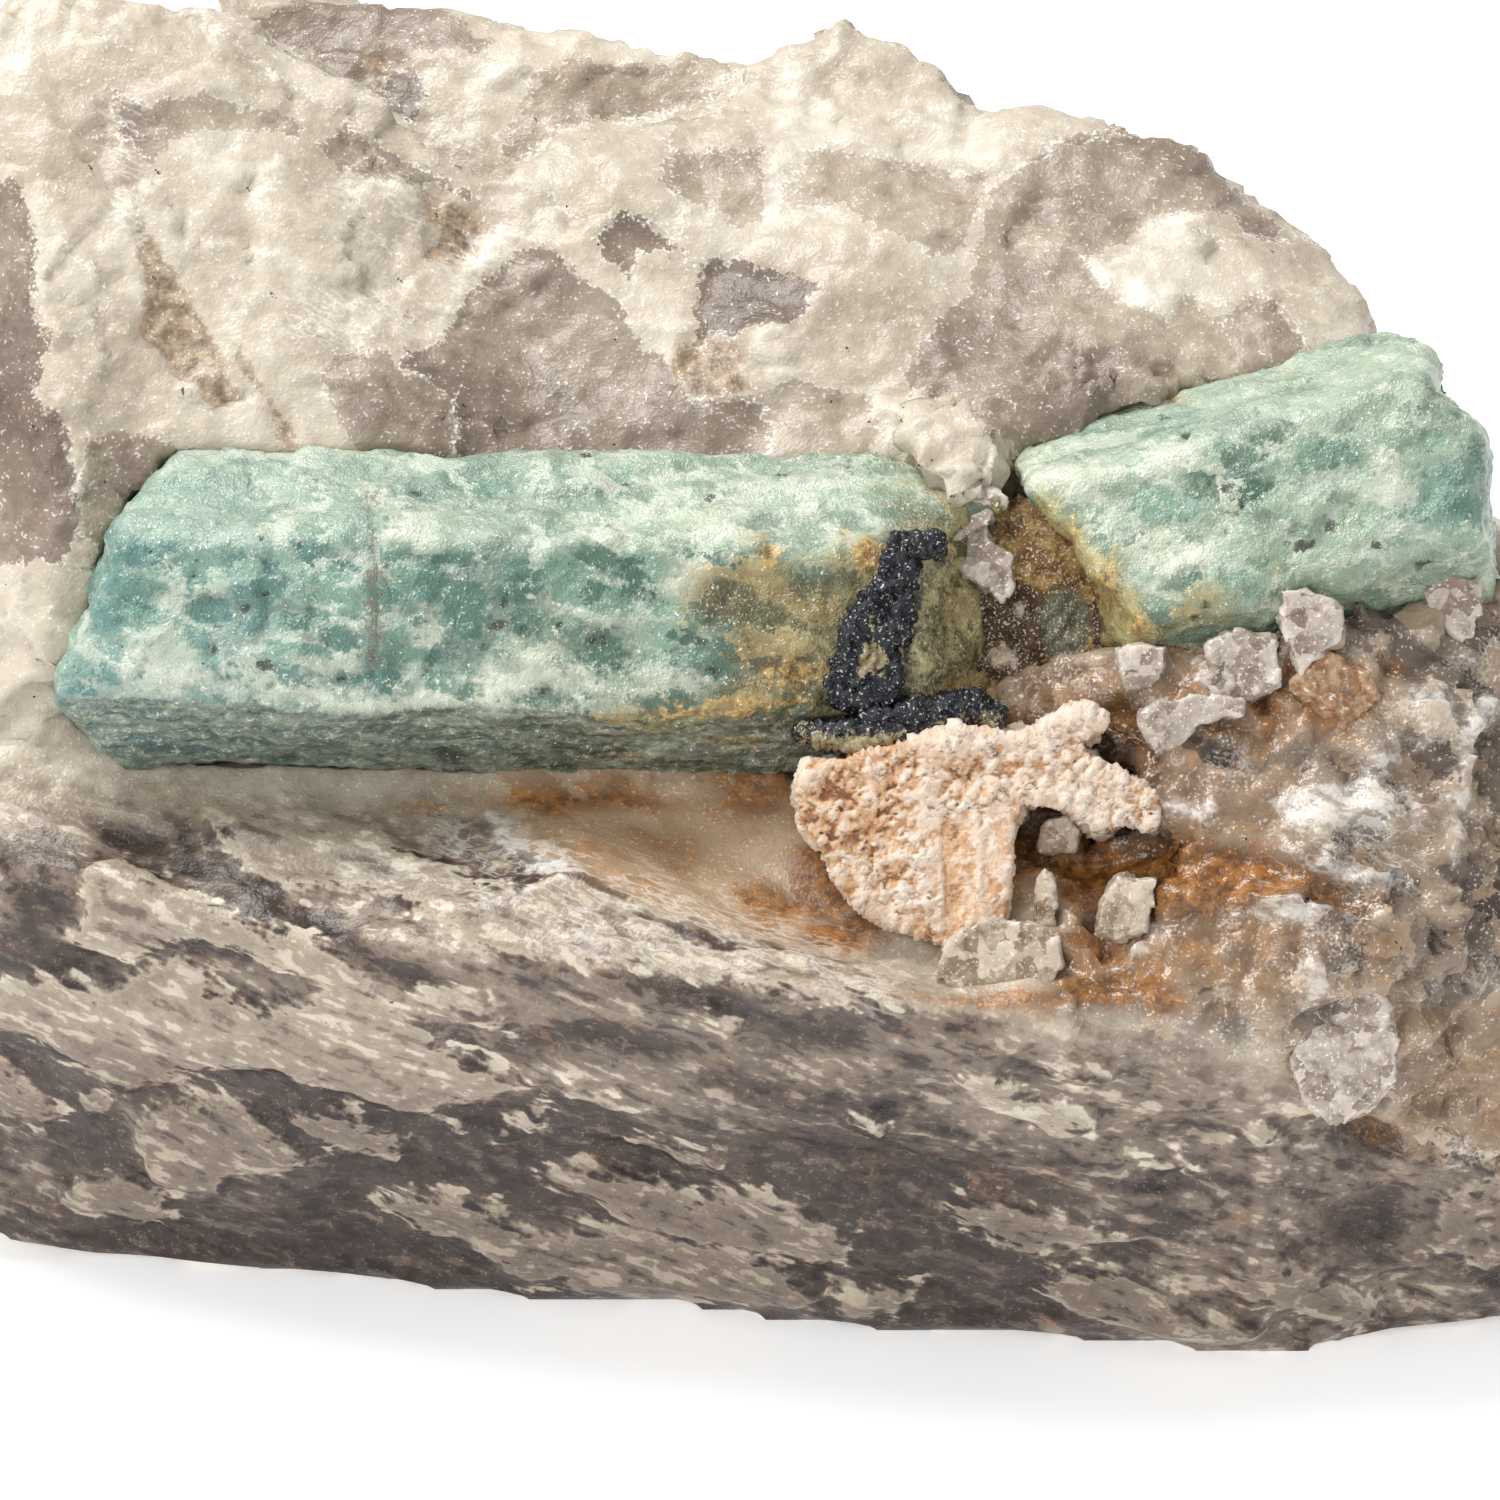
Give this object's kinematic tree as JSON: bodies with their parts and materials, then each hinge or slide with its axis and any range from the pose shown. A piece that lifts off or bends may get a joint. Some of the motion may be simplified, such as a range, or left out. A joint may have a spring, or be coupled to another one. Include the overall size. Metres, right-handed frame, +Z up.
{
  "type": "aquamarine in quartz specimen",
  "caption": "Rough quartz stone that holds a broken hexagonal aquamarine crystal with crumbly feldspar and black tourmaline, resting on a flat spot of its base.",
  "frame": {"origin": "middle of the flat spot on the underside that the stone rests on", "axes": "+X along the stone's longest side, to the right of the side that shows the crystal; +Y towards the back; +Z up"},
  "size_m": [0.1093, 0.0675, 0.0598],
  "materials": {
    "quartz": "broken milky and smoky quartz, glossy on fresh faces, with rust stains",
    "aquamarine": "cloudy blue-green crystal with pale veins and a satin to glossy lustre",
    "feldspar": "peach-white, crumbly and matt",
    "tourmaline": "black, granular, sparkling"
  },
  "bodies": {
    "root": {"quartz_matrix": "quartz", "aquamarine_long": "aquamarine", "aquamarine_short": "aquamarine", "feldspar_mass": "feldspar", "tourmaline_crust": "tourmaline", "tourmaline_seam": "tourmaline"}
  },
  "joints": []
}
